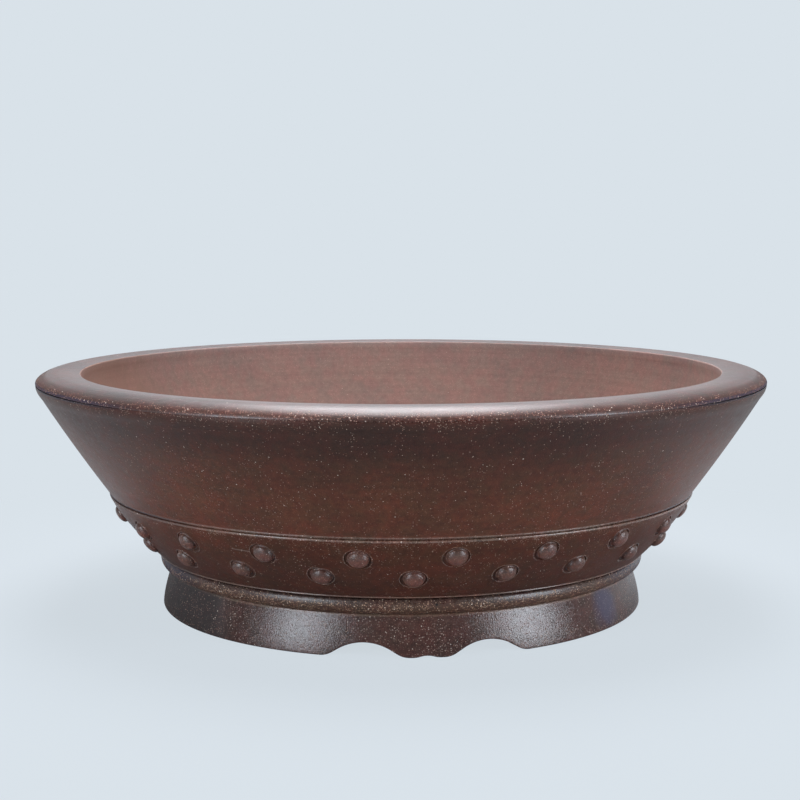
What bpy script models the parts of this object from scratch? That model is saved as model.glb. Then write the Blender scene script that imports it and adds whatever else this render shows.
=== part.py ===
"""Drum flower pot: a flared bowl of unglazed brown clay, with two rows of studs, on a cut-out foot ring.

Metres, +Z up. The origin is on the ground at the pot's centre, and the pot's front faces -Y.
The pieces are those that a potter forms apart and joins with slip before the firing: the rim, the
flared wall, the studded belt, the floor slab with its drain holes, the bead round the slab's edge,
the foot ring with its cusped cut-outs, and the studs, each in its own pressed socket.
"""
import math

import bmesh
import bpy
from mathutils import Matrix, Vector

# Clearances: neighbouring pieces stop this far short of each other
JOINT_GAP = 0.0003

# Foot ring
FOOT_HEIGHT = 0.0206
NECK_RADIUS = 0.1287
FOOT_FLARE = 0.0052
FOOT_THICKNESS = 0.0100
FOOT_TAPER = 0.0020
FOOT_SHOULDER = 0.0010
FLARE_POWER = 1.5

# Cut-outs of the foot ring: a pair of arches, with a pendant and its small notch between them
CUTOUT_COUNT = 3
CUTOUT_ANGLE = math.radians(5.4)
ARCH_HEIGHT = 0.0072
ARCH_CROWN_RADIUS = 0.0260
ARCH_CORNER_RADIUS = 0.0120
ARCH_FLANK = math.radians(31)
ARCH_OFFSET = 0.0310
NOTCH_HEIGHT = 0.0010
NOTCH_CROWN_RADIUS = 0.0125
NOTCH_CORNER_RADIUS = 0.0125
RUN_OUT = 0.0001

# Floor slab and its drain holes
FLOOR_THICKNESS = 0.0083
DRAIN_RADIUS = 0.0180
SIDE_DRAIN_RADIUS = 0.0120
SIDE_DRAIN_COUNT = 3
SIDE_DRAIN_CIRCLE = 0.0720

# Bead round the slab's edge
BEAD_PROJECTION = 0.0062
BEAD_CROWN_HEIGHT = 0.0053
BEAD_TOP_SET_BACK = 0.0018

# Studded belt
BELT_HEIGHT = 0.0344
BELT_STEP = 0.0014
BELT_BOW = 0.0017
COVE_HEIGHT = 0.0120
COVE_DEPTH = 0.0080

# Studs
STUDS_PER_ROW = 21
STUD_RADIUS = 0.0056
STUD_RISE = 0.0038
SOCKET_MARGIN = 0.0009
SOCKET_DEPTH = 0.0009
UPPER_ROW_DROP = 0.0105
LOWER_ROW_RISE = 0.0123
UPPER_ROW_ANGLE = math.radians(9.2)
LOWER_ROW_ANGLE = math.radians(1.8)

# The studs in sight are set by hand, a little off the even rows: number of the stud, with the degrees
# that it stands further round and the metres that it stands higher
UPPER_ROW_SHIFTS = {
    17: (1.8, 0.0001), 18: (0.7, -0.0011), 19: (0.2, 0.0005), 21: (0.4, 0.0), 1: (0.2, 0.0012),
    2: (-0.2, 0.0011), 3: (-0.6, 0.0016), 4: (-1.2, 0.0008), 5: (0.0, -0.0003),
}
LOWER_ROW_SHIFTS = {
    16: (1.0, 0.0), 17: (2.0, 0.0), 18: (3.5, -0.0002), 19: (2.4, 0.0001), 20: (1.0, 0.0009),
    21: (0.3, 0.0012), 1: (0.4, 0.0005), 2: (0.6, 0.0017), 3: (-1.3, 0.0020), 4: (-2.2, 0.0015),
    5: (-4.6, 0.0018), 6: (-3.0, 0.0009), 7: (-1.5, 0.0004),
}
NO_SHIFT = (0.0, 0.0)

# Flared wall, which turns upright at its lip
WALL_HEIGHT = 0.0598
WALL_FOOT_RADIUS = 0.1615
WALL_BOW = 0.0006
LIP_HEIGHT = 0.0060
LIP_FLARE = 0.0027
WALL_THICKNESS = 0.0125
THICKENING_POWER = 2.6

# Rim
RIM_RADIUS = 0.2000
RIM_WIDTH = 0.0240
RIM_HEIGHT = 0.0056
RIM_ROLL_WIDTH = 0.0120
RIM_INNER_DROP = 0.0007
RIM_OVERHANG = 0.0001
RIM_EDGE = 0.0003

# Softened edges, and the fineness of the turned shapes
ARRIS = 0.0006
TURN_STEPS = 72
STUD_STEPS = 12
HOLE_STEPS = 24
CUTTER_REACH = 0.0050
SHARP_ANGLE = math.radians(32)

# Heights and radii that follow from the sizes above
FLOOR_BOTTOM = FOOT_HEIGHT + JOINT_GAP
FLOOR_TOP = FLOOR_BOTTOM + FLOOR_THICKNESS
BELT_BOTTOM = FLOOR_TOP + JOINT_GAP
BELT_TOP = BELT_BOTTOM + BELT_HEIGHT
WALL_BOTTOM = BELT_TOP + JOINT_GAP
WALL_TOP = WALL_BOTTOM + WALL_HEIGHT
RIM_BOTTOM = WALL_TOP + JOINT_GAP
RIM_TOP = RIM_BOTTOM + RIM_HEIGHT
FOOT_RADIUS = NECK_RADIUS + FOOT_FLARE
BELT_FOOT_RADIUS = NECK_RADIUS + BEAD_PROJECTION
BELT_TOP_RADIUS = WALL_FOOT_RADIUS + BELT_STEP
WALL_TOP_RADIUS = RIM_RADIUS - RIM_OVERHANG
LIP_BOTTOM = WALL_TOP - LIP_HEIGHT
LIP_BOTTOM_RADIUS = WALL_TOP_RADIUS - LIP_FLARE
BELT_THICKNESS = WALL_THICKNESS + BELT_STEP
RIM_INNER_RADIUS = RIM_RADIUS - RIM_WIDTH
SOCKET_RADIUS = STUD_RADIUS + SOCKET_MARGIN

# The fired clay of each piece: linear RGB, and roughness. The floor is left unpolished
RIM_CLAY = ((0.125, 0.072, 0.060), 0.42)
WALL_CLAY = ((0.090, 0.045, 0.034), 0.44)
BELT_CLAY = ((0.084, 0.042, 0.032), 0.48)
BEAD_CLAY = ((0.088, 0.048, 0.038), 0.44)
FOOT_CLAY = ((0.078, 0.046, 0.040), 0.40)
STUD_CLAY = ((0.100, 0.056, 0.044), 0.42)
FLOOR_CLAY = ((0.235, 0.130, 0.095), 0.75)


def clear_scene():
    for obj in list(bpy.data.objects):
        bpy.data.objects.remove(obj, do_unlink=True)


def clay_material(name, colour, roughness):
    material = bpy.data.materials.new(name)
    material.use_nodes = True
    shader = material.node_tree.nodes["Principled BSDF"]
    shader.inputs["Base Color"].default_value = (*colour, 1.0)
    shader.inputs["Roughness"].default_value = roughness
    shader.inputs["Metallic"].default_value = 0.0
    material.diffuse_color = (*colour, 1.0)
    return material


def new_collection(name):
    collection = bpy.data.collections.new(name)
    bpy.context.scene.collection.children.link(collection)
    return collection


def turned_object(name, profile, steps, collection):
    """A closed profile of (radius, height) points, turned round Z. It runs down its outer side."""
    mesh = bpy.data.meshes.new(name)
    points = [(radius, 0.0, height) for radius, height in profile]
    edges = [(i, (i + 1) % len(points)) for i in range(len(points))]
    mesh.from_pydata(points, edges, [])
    obj = bpy.data.objects.new(name, mesh)
    collection.objects.link(obj)
    screw = obj.modifiers.new("Turn", "SCREW")
    screw.axis = "Z"
    screw.angle = math.tau
    screw.steps = steps
    screw.render_steps = steps
    screw.use_merge_vertices = True
    screw.merge_threshold = 0.00001
    return obj


def cut_with(obj, cutter):
    cut = obj.modifiers.new("Cut " + cutter.name, "BOOLEAN")
    cut.operation = "DIFFERENCE"
    cut.solver = "EXACT"
    cut.object = cutter


def settle(obj, material):
    """Applies the modifiers and shades the round faces smooth."""
    graph = bpy.context.evaluated_depsgraph_get()
    mesh = bpy.data.meshes.new_from_object(obj.evaluated_get(graph))
    obj.modifiers.clear()
    obj.data = mesh
    mesh.materials.clear()
    mesh.materials.append(material)
    mesh.shade_smooth()
    mesh.set_sharp_from_angle(angle=SHARP_ANGLE)
    mesh.name = obj.name


def ellipse_arc(centre, across, up, start, end, count):
    """Points from the angle start to the angle end, in degrees, on an upright ellipse."""
    points = []
    for i in range(count + 1):
        angle = math.radians(start + (end - start) * i / count)
        points.append((centre[0] + across * math.cos(angle), centre[1] + up * math.sin(angle)))
    return points


def bowed_radius(height, low, high, bow):
    """The radius at a height on a line from low to high that swells outwards by bow at its middle."""
    share = (height - low[1]) / (high[1] - low[1])
    length = math.hypot(high[0] - low[0], high[1] - low[1])
    level_bow = bow * length / (high[1] - low[1])
    return low[0] + (high[0] - low[0]) * share + level_bow * 4 * share * (1 - share)


def belt_radius(height):
    low = (BELT_FOOT_RADIUS, BELT_BOTTOM)
    high = (BELT_TOP_RADIUS, BELT_TOP)
    return bowed_radius(height, low, high, BELT_BOW)


def wall_radius(height):
    if height > LIP_BOTTOM:
        return WALL_TOP_RADIUS - LIP_FLARE * ((WALL_TOP - height) / LIP_HEIGHT) ** 2
    low = (WALL_FOOT_RADIUS, WALL_BOTTOM)
    high = (LIP_BOTTOM_RADIUS, LIP_BOTTOM)
    return bowed_radius(height, low, high, WALL_BOW)


def foot_radius(height):
    return FOOT_RADIUS - FOOT_FLARE * (height / FOOT_HEIGHT) ** FLARE_POWER


def belt_inner_radius(height):
    """The belt's inside follows its outside, flush with the wall's above, and coves out over the floor."""
    rise = min((height - BELT_BOTTOM) / COVE_HEIGHT, 1.0)
    return belt_radius(height) - BELT_THICKNESS - COVE_DEPTH * (1 - rise) ** 2


def wall_inner_radius(height):
    """The wall thickens upwards on its inside, to carry the whole rim."""
    share = (height - WALL_BOTTOM) / WALL_HEIGHT
    thickening = WALL_TOP_RADIUS - RIM_INNER_RADIUS - WALL_THICKNESS
    return wall_radius(height) - WALL_THICKNESS - thickening * share ** THICKENING_POWER


def spread(low, high, count):
    """count + 1 even values from low to high."""
    return [low + (high - low) * i / count for i in range(count + 1)]


def side(radius_at, heights):
    return [(radius_at(height), height) for height in heights]


def rim_profile():
    centre = (RIM_RADIUS - RIM_ROLL_WIDTH, RIM_BOTTOM + RIM_EDGE)
    roll = ellipse_arc(centre, RIM_ROLL_WIDTH, RIM_HEIGHT - RIM_EDGE, 90, 0, 4)
    inner_top = RIM_TOP - RIM_INNER_DROP
    return [
        (RIM_INNER_RADIUS, inner_top - ARRIS),
        (RIM_INNER_RADIUS + ARRIS, inner_top),
        *roll,
        (RIM_RADIUS - RIM_EDGE, RIM_BOTTOM),
        (RIM_INNER_RADIUS, RIM_BOTTOM),
    ]


def wall_profile():
    lip = side(wall_radius, spread(WALL_TOP - RIM_EDGE, LIP_BOTTOM, 2))
    outer = side(wall_radius, spread(LIP_BOTTOM, WALL_BOTTOM + ARRIS, 2))
    inner = side(wall_inner_radius, spread(WALL_BOTTOM, WALL_TOP, 3))
    return [
        (WALL_TOP_RADIUS - RIM_EDGE, WALL_TOP),
        *lip,
        *outer[1:],
        (WALL_FOOT_RADIUS - ARRIS, WALL_BOTTOM),
        *inner,
    ]


def belt_profile():
    outer = side(belt_radius, spread(BELT_TOP - ARRIS, BELT_BOTTOM + ARRIS, 3))
    cove = side(belt_inner_radius, spread(BELT_BOTTOM, BELT_BOTTOM + COVE_HEIGHT, 3))
    inner = side(belt_inner_radius, spread(BELT_BOTTOM + COVE_HEIGHT, BELT_TOP, 1))
    return [
        (BELT_TOP_RADIUS - ARRIS, BELT_TOP),
        *outer,
        (BELT_FOOT_RADIUS - ARRIS, BELT_BOTTOM),
        *cove,
        *inner[1:],
    ]


def bead_profile():
    inner = NECK_RADIUS
    crown = inner + BEAD_PROJECTION
    crown_height = FLOOR_BOTTOM + BEAD_CROWN_HEIGHT
    above_centre = (crown - BEAD_TOP_SET_BACK, crown_height)
    above = ellipse_arc(above_centre, BEAD_TOP_SET_BACK, FLOOR_TOP - crown_height, 90, 0, 3)
    below = ellipse_arc((inner, crown_height), BEAD_PROJECTION, BEAD_CROWN_HEIGHT, 0, -90, 4)
    return [(inner, FLOOR_TOP), *above, *below[1:-1], (inner, FLOOR_BOTTOM)]


def floor_profile():
    radius = NECK_RADIUS - JOINT_GAP
    return [
        (DRAIN_RADIUS, FLOOR_TOP),
        (radius, FLOOR_TOP),
        (radius, FLOOR_BOTTOM),
        (DRAIN_RADIUS, FLOOR_BOTTOM),
    ]


def foot_profile():
    outer = side(foot_radius, spread(FOOT_HEIGHT - FOOT_SHOULDER, ARRIS, 3))
    inner = FOOT_RADIUS - FOOT_THICKNESS
    return [
        (NECK_RADIUS - FOOT_SHOULDER, FOOT_HEIGHT),
        *outer,
        (FOOT_RADIUS - ARRIS, 0.0),
        (inner, 0.0),
        (inner - FOOT_TAPER, FOOT_HEIGHT),
    ]


def arch_outline(height, crown_radius, corner_radius, flank):
    """Points along an arch, as (along, height): corner arc, flank, crown arc, flank and corner arc.

    The corner arcs end level, just under the ground, where the cut runs out through the foot's underside.
    """
    drop = height + RUN_OUT
    arcs_drop = (crown_radius + corner_radius) * (1 - math.cos(flank))
    flank_run = (drop - arcs_drop) / math.tan(flank)
    half_width = (crown_radius + corner_radius) * math.sin(flank) + flank_run
    half = []
    for angle in spread(0.0, flank, 3):
        fall = crown_radius * (1 - math.cos(angle))
        half.append((crown_radius * math.sin(angle), height - fall))
    for angle in spread(flank, 0.0, 3):
        rise = corner_radius * (1 - math.cos(angle))
        half.append((half_width - corner_radius * math.sin(angle), rise - RUN_OUT))
    return [(-along, rise) for along, rise in reversed(half[1:])] + half


def notch_flank():
    """The notch has no straight flank: its crown arc runs straight into its corner arcs."""
    return math.acos(1 - (NOTCH_HEIGHT + RUN_OUT) / (NOTCH_CROWN_RADIUS + NOTCH_CORNER_RADIUS))


def round_the_foot(along, radius, height, middle):
    """A point of the unrolled foot, rolled back round the axis at a radius. Angle 0 is the front."""
    angle = middle + along / FOOT_RADIUS
    return Vector((radius * math.sin(angle), -radius * math.cos(angle), height))


def add_radial_cut(bm, outline, offset, middle):
    """A bent prism, square to the foot ring, with the outline as its top and its base under the ground."""
    near = FOOT_RADIUS - FOOT_THICKNESS - FOOT_TAPER - CUTTER_REACH
    far = FOOT_RADIUS + CUTTER_REACH
    sections = []
    for along, rise in outline:
        corners = ((near, -CUTTER_REACH), (far, -CUTTER_REACH), (far, rise), (near, rise))
        section = [round_the_foot(along + offset, radius, height, middle) for radius, height in corners]
        sections.append([bm.verts.new(point) for point in section])
    for a, b in zip(sections, sections[1:]):
        for i in range(4):
            j = (i + 1) % 4
            bm.faces.new((a[i], a[j], b[j], b[i]))
    bm.faces.new(reversed(sections[0]))
    bm.faces.new(sections[-1])


def cutter_object(name, bm, collection):
    bmesh.ops.recalc_face_normals(bm, faces=bm.faces)
    mesh = bpy.data.meshes.new(name)
    bm.to_mesh(mesh)
    bm.free()
    obj = bpy.data.objects.new(name, mesh)
    collection.objects.link(obj)
    obj.hide_render = True
    obj.display_type = "WIRE"
    return obj


def foot_cutter(collection):
    arch = arch_outline(ARCH_HEIGHT, ARCH_CROWN_RADIUS, ARCH_CORNER_RADIUS, ARCH_FLANK)
    notch = arch_outline(NOTCH_HEIGHT, NOTCH_CROWN_RADIUS, NOTCH_CORNER_RADIUS, notch_flank())
    bm = bmesh.new()
    for i in range(CUTOUT_COUNT):
        middle = CUTOUT_ANGLE + math.tau * i / CUTOUT_COUNT
        add_radial_cut(bm, arch, -ARCH_OFFSET, middle)
        add_radial_cut(bm, notch, 0.0, middle)
        add_radial_cut(bm, arch, ARCH_OFFSET, middle)
    return cutter_object("foot_cutouts", bm, collection)


def drain_cutter(collection):
    """The side drains lie behind the middles of the foot ring's cut-outs."""
    bm = bmesh.new()
    depth = FLOOR_THICKNESS + 2 * CUTTER_REACH
    for i in range(SIDE_DRAIN_COUNT):
        angle = CUTOUT_ANGLE + math.tau * i / SIDE_DRAIN_COUNT
        place = Vector((
            SIDE_DRAIN_CIRCLE * math.sin(angle),
            -SIDE_DRAIN_CIRCLE * math.cos(angle),
            FLOOR_BOTTOM + FLOOR_THICKNESS / 2,
        ))
        bmesh.ops.create_cone(
            bm, cap_ends=True, segments=HOLE_STEPS, radius1=SIDE_DRAIN_RADIUS, radius2=SIDE_DRAIN_RADIUS,
            depth=depth, matrix=Matrix.Translation(place))
    return cutter_object("side_drains", bm, collection)


def stud_frame(height, angle):
    """The matrix of a stud's place: its origin on the belt's surface and its Z out along the normal."""
    step = 0.0005
    slope = (belt_radius(height + step) - belt_radius(height - step)) / (2 * step)
    outwards = Vector((math.sin(angle), -math.cos(angle), 0.0))
    up_the_belt = (outwards * slope + Vector((0.0, 0.0, 1.0))).normalized()
    level = Vector((math.cos(angle), math.sin(angle), 0.0))
    normal = level.cross(up_the_belt)
    place = outwards * belt_radius(height) + Vector((0.0, 0.0, height))
    return Matrix.Translation(place) @ Matrix((level, up_the_belt, normal)).transposed().to_4x4()


def stud_places():
    """Name and matrix of every stud. Angle 0 is the front, and angles grow towards +X."""
    rows = (
        ("upper", BELT_TOP - UPPER_ROW_DROP, UPPER_ROW_ANGLE, UPPER_ROW_SHIFTS),
        ("lower", BELT_BOTTOM + LOWER_ROW_RISE, LOWER_ROW_ANGLE, LOWER_ROW_SHIFTS),
    )
    places = []
    for row, height, first, shifts in rows:
        for i in range(STUDS_PER_ROW):
            turn, lift = shifts.get(i + 1, NO_SHIFT)
            angle = first + math.tau * i / STUDS_PER_ROW + math.radians(turn)
            places.append((f"stud_{row}_{i + 1:02d}", stud_frame(height + lift, angle)))
    return places


def socket_cutter(places, collection):
    bm = bmesh.new()
    depth = SOCKET_DEPTH + CUTTER_REACH
    for _, frame in places:
        middle = Matrix.Translation((0.0, 0.0, depth / 2 - SOCKET_DEPTH))
        bmesh.ops.create_cone(
            bm, cap_ends=True, segments=STUD_STEPS, radius1=SOCKET_RADIUS, radius2=SOCKET_RADIUS,
            depth=depth, matrix=frame @ middle)
    return cutter_object("stud_sockets", bm, collection)


def stud_profile():
    """A stud is a dome that stands on its socket's floor."""
    base = JOINT_GAP - SOCKET_DEPTH
    dome = ellipse_arc((0.0, base), STUD_RADIUS, STUD_RISE - base, 90, 0, 4)
    return [(0.0, STUD_RISE), *dome[1:], (0.0, base)]


def add_studs(places, collection):
    """The studs share the first one's mesh and clay."""
    first = turned_object(places[0][0], stud_profile(), STUD_STEPS, collection)
    settle(first, clay_material("stud_clay", *STUD_CLAY))
    first.matrix_world = places[0][1]
    for name, frame in places[1:]:
        stud = bpy.data.objects.new(name, first.data)
        collection.objects.link(stud)
        stud.matrix_world = frame


def main():
    clear_scene()
    pot = new_collection("drum_flower_pot")
    cutters = new_collection("cutters")
    cutters.hide_render = True
    places = stud_places()

    rim = turned_object("rim", rim_profile(), TURN_STEPS, pot)
    wall = turned_object("wall", wall_profile(), TURN_STEPS, pot)
    belt = turned_object("stud_belt", belt_profile(), TURN_STEPS, pot)
    bead = turned_object("waist_bead", bead_profile(), TURN_STEPS, pot)
    floor = turned_object("floor_slab", floor_profile(), TURN_STEPS, pot)
    foot = turned_object("foot_ring", foot_profile(), TURN_STEPS, pot)
    cut_with(belt, socket_cutter(places, cutters))
    cut_with(floor, drain_cutter(cutters))
    cut_with(foot, foot_cutter(cutters))
    settle(rim, clay_material("rim_clay", *RIM_CLAY))
    settle(wall, clay_material("wall_clay", *WALL_CLAY))
    settle(belt, clay_material("belt_clay", *BELT_CLAY))
    settle(bead, clay_material("bead_clay", *BEAD_CLAY))
    settle(floor, clay_material("floor_clay", *FLOOR_CLAY))
    settle(foot, clay_material("foot_clay", *FOOT_CLAY))
    add_studs(places, pot)


main()
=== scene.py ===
"""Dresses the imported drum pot: finely turned and carved clay pieces, procedural clay, and a pale studio."""
import math
import random
from itertools import chain

import bmesh
import bpy
from mathutils import Matrix, Vector


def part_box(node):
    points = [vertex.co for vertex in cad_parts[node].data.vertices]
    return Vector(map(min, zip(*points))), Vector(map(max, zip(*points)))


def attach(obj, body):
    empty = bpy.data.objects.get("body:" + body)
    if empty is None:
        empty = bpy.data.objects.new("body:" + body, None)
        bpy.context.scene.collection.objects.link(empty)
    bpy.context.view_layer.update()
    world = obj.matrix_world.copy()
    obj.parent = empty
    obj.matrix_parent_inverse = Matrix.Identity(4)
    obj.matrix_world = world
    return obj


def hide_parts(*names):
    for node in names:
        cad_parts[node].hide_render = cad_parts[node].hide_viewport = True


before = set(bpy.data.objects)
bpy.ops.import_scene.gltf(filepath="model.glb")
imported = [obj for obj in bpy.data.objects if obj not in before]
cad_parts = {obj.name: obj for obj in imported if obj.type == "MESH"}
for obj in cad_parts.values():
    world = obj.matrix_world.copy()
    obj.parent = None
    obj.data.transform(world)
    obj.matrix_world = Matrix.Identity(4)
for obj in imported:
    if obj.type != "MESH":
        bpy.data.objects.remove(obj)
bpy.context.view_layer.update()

# The frame's own heights and radii, in metres
RIM_LOW, RIM_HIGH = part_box("rim")
WALL_LOW, WALL_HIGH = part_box("wall")
BELT_LOW, BELT_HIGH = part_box("stud_belt")
BEAD_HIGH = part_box("waist_bead")[1]
SLAB_LOW, SLAB_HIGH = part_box("floor_slab")
FOOT_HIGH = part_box("foot_ring")[1]
RIM_RADIUS = RIM_HIGH.x
BELT_TOP_RADIUS = BELT_HIGH.x
BEAD_RADIUS = BEAD_HIGH.x
FOOT_RADIUS = FOOT_HIGH.x

# Heights at which the clay pieces meet, halfway across the frame's gaps
RIM_SEAM = (WALL_HIGH.z + RIM_LOW.z) / 2
WALL_SEAM = (BELT_HIGH.z + WALL_LOW.z) / 2
BELT_SEAM = (SLAB_HIGH.z + BELT_LOW.z) / 2
FOOT_SEAM = (FOOT_HIGH.z + SLAB_LOW.z) / 2

# Sizes that the frame's boxes do not show
NECK_RADIUS = 0.1287
FOOT_THICKNESS = 0.0100
FOOT_TAPER = 0.0020
FLARE_POWER = 1.5
CUTOUT_COUNT = 3
CUTOUT_ANGLE = math.radians(5.4)
ARCH_HEIGHT = 0.0072
ARCH_CROWN_RADIUS = 0.0260
ARCH_CORNER_RADIUS = 0.0120
ARCH_FLANK = math.radians(31)
ARCH_OFFSET = 0.0310
NOTCH_HEIGHT = 0.0010
NOTCH_CROWN_RADIUS = 0.0125
NOTCH_CORNER_RADIUS = 0.0125
DRAIN_RADIUS = 0.0180
SIDE_DRAIN_RADIUS = 0.0120
SIDE_DRAIN_CIRCLE = 0.0720
BEAD_CROWN_HEIGHT = 0.0053
BEAD_TOP_SET_BACK = 0.0018
BELT_FOOT_RADIUS = 0.1349
BELT_BOW = 0.0017
WALL_FOOT_RADIUS = 0.1615
WALL_BOW = 0.0006
WALL_THICKNESS = 0.0125
LIP_HEIGHT = 0.0060
LIP_FLARE = 0.0027
COVE_HEIGHT = 0.0120
COVE_DEPTH = 0.0080
RIM_WIDTH = 0.0240
RIM_ROLL_WIDTH = 0.0120
RIM_INNER_DROP = 0.0007
STUDS_PER_ROW = 21
STUD_RADIUS = 0.0056
STUD_RISE = 0.0038
STUD_FILLET = 0.0006
STUD_CLEARANCE = 0.00002
UPPER_ROW_DROP = 0.0105
LOWER_ROW_RISE = 0.0123
UPPER_ROW_ANGLE = math.radians(9.2)
LOWER_ROW_ANGLE = math.radians(1.8)

# The studs that are set a little off the even rows: degrees further round, and metres higher
UPPER_ROW_SHIFTS = {
    17: (1.8, 0.0001), 18: (0.7, -0.0011), 19: (0.2, 0.0005), 21: (0.4, 0.0), 1: (0.2, 0.0012),
    2: (-0.2, 0.0011), 3: (-0.6, 0.0016), 4: (-1.2, 0.0008), 5: (0.0, -0.0003),
}
LOWER_ROW_SHIFTS = {
    16: (1.0, 0.0), 17: (2.0, 0.0), 18: (3.5, -0.0002), 19: (2.4, 0.0001), 20: (1.0, 0.0009),
    21: (0.3, 0.0012), 1: (0.4, 0.0005), 2: (0.6, 0.0017), 3: (-1.3, 0.0020), 4: (-2.2, 0.0015),
    5: (-4.6, 0.0018), 6: (-3.0, 0.0009), 7: (-1.5, 0.0004),
}
NO_SHIFT = (0.0, 0.0)

# Domes that have been pressed flatter than the rest: the share of their height, and of their width
FLATTER_STUDS = {
    "stud_upper_05": (0.78, 1.0), "stud_upper_17": (0.82, 1.0), "stud_lower_17": (0.60, 1.12),
    "stud_lower_18": (0.78, 1.0),
}

# How a stud that is pressed by hand differs from the next: shares of its width and height, and its lean
STUD_WIDTHS = (0.97, 1.02)
STUD_HEIGHTS = (0.78, 0.88)
STUD_LEANS = (-0.03, 0.03)
# How far it stands off the middle of its socket, along the belt and up it, and the sine of the angle beyond
# which the studs on the left stand off the other way
STUD_SIDE_SHIFTS = (0.0003, 0.0006)
STUD_UP_SHIFTS = (0.0001, 0.0003)
LEFT_STUDS = -0.45

# The pressed socket's section: distance from the stud's axis and height over the belt, in metres. Its floor
# is flat, and a thin ring of clay stands round its mouth
SOCKET_SECTION = (
    (0.00520, -0.00042), (0.00590, -0.00040), (0.00616, -0.00034), (0.00632, -0.00022), (0.00643, -0.00006),
    (0.00652, 0.00006), (0.00661, 0.00013), (0.00672, 0.00016), (0.00684, 0.00013), (0.00698, 0.00007),
    (0.00716, 0.00002), (0.00735, 0.00000),
)
SOCKET_FLOOR = SOCKET_SECTION[0][1]
SOCKET_MOUTH = 0.0060
RING_STAND = 0.00012

# Softened edges, and the least step between two faces
ARRIS = 0.0006
BELT_ARRIS = 0.0013
SLAB_ARRIS = 0.0010
ROLL_POWER = 1.84
ROLL_END = math.radians(3)
HAIR = 0.00005
BEAD_INSET = 0.0002
SLAB_INSET = 0.0003
RIM_INNER_RADIUS = RIM_RADIUS - RIM_WIDTH
WALL_TOP_RADIUS = RIM_RADIUS - 2 * HAIR
BELT_THICKNESS = WALL_THICKNESS + BELT_TOP_RADIUS - WALL_FOOT_RADIUS
UPRIGHT_SLOPE = 0.05

# The narrow upright strips at the foot of rim, wall and belt, and the grooves that the tool has cut below them
STRIP_HEIGHT = 0.00055
STRIP_LEAN = 0.00006
STRIP_ROUNDING = 0.00015
RIM_STRIP_ROUNDING = 0.0001
RIM_STRIP_LIFT = 0.00012
WALL_STRIP_LIFT = 0.00070
BELT_STRIP_TOP = 0.0015
GROOVE_DEPTH = 0.0009
GROOVE_HEIGHT = 0.0003
# The groove under the rim opens towards the pot's two sides, from one sine of the angle to the other
SIDE_GROOVE = 0.0005
SIDE_GROOVE_SINES = (0.60, 0.85)

# Fineness of the meshes: steps round a piece and rings up it. How close points are merged, and the angle at
# which the shading breaks
TURN_STEPS = 480
FOOT_STEPS = 1440
BELT_STEPS = 756
BELT_LATTICE = math.tau / BELT_STEPS
CELL_ROWS = 14
CELL_RINGS = 4
CELL_MARGIN = 0.0005
STUD_RINGS = 16
STUD_STEPS = 56
ROLL_RINGS = 32
WALL_RINGS, WALL_INNER_RINGS = 64, 50
BEAD_TOP_RINGS, BEAD_RINGS = 16, 32
BELT_INNER_RINGS = 16
FOOT_RINGS = 16
SLAB_STEPS, HOLE_STEPS = 240, 72
MERGE_DISTANCE = 0.000003
SHARP_ANGLE = math.radians(50)

# How far a face's normal leans inwards or outwards, or looks down, before it counts as lining or as pale edge,
# worn and partly a painted highlight
LINING_FACING = -0.35
EDGE_FACING = 0.2
EDGE_LEAN = -0.3

# The clay's patterns, in features to the metre: turning marks, which run level, clouds, patches, mottling, the
# finest unevenness, swarms of grit, and the wobble of the grains' outlines, with its reach in metres
MARKS_SCALE = (7.0, 7.0, 420.0)
CLOUD_SCALE, PATCH_SCALE, MOTTLE_SCALE, FINE_SCALE = 24.0, 130.0, 320.0, 1300.0
SWARM_SCALE, WOBBLE_SCALE = 55.0, 1800.0
WOBBLE_REACH = (0.0003, 0.0003, 0.0003)

# How each pattern shades the clay: from and up to which of its values, and from which shade to which
CLOUD_SHADES = (0.32, 0.68, (0.84, 0.88, 0.90), (1.15, 1.10, 1.06))
PATCH_SHADES = (0.38, 0.62, (0.93, 1.05, 1.02), (1.08, 0.95, 0.95))
MOTTLE_SHADES = (0.30, 0.70, (0.80, 0.80, 0.80), (1.22, 1.20, 1.18))
MARKS_SHADES = (0.35, 0.65, (0.82, 0.82, 0.82), (1.20, 1.18, 1.16))
DUST_SHADES = ((0.55, 0.50, 0.48), (2.4, 2.4, 2.3))

# Grains of dust, of buff and of pale grit: cells to the metre, and the largest grain's radius in a cell
DUST_CELLS, BUFF_CELLS, PALE_CELLS = 2300.0, 1650.0, 1100.0
DUST_SIZE, BUFF_SIZE, PALE_SIZE = 0.62, 0.50, 0.38
# The shares of the cells that hold them, and how strongly they and the painted side shade cover the clay
DUST_SHARE, LEAST_DUST, BUFF_SHARE, PALE_SHARE = 1.2, 0.25, 0.60, 0.11
BUFF_COVER, PALE_COVER, SIDE_SHADE_COVER = 0.80, 0.90, 0.85
# The grains lie in loose swarms: from and up to which values of their pattern, and from how few to how many
SWARMS = (0.35, 0.65, 0.45, 1.35)
# Linear colours of the grit: buff grains from dark to light, and pale grains from dark to light
GRIT_TONES = ((0.220, 0.095, 0.066), (0.430, 0.310, 0.240), (0.400, 0.280, 0.215), (0.620, 0.520, 0.430))
RIM_GRIT = ((0.240, 0.085, 0.055), (0.560, 0.350, 0.260), (0.560, 0.400, 0.310), (0.880, 0.740, 0.640))
RED_GRIT = ((0.240, 0.090, 0.060), (0.480, 0.280, 0.210), (0.440, 0.290, 0.230), (0.620, 0.480, 0.400))
GOLD_GRIT = ((0.280, 0.130, 0.070), (0.700, 0.460, 0.300), (0.620, 0.440, 0.310), (0.850, 0.700, 0.560))

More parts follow.
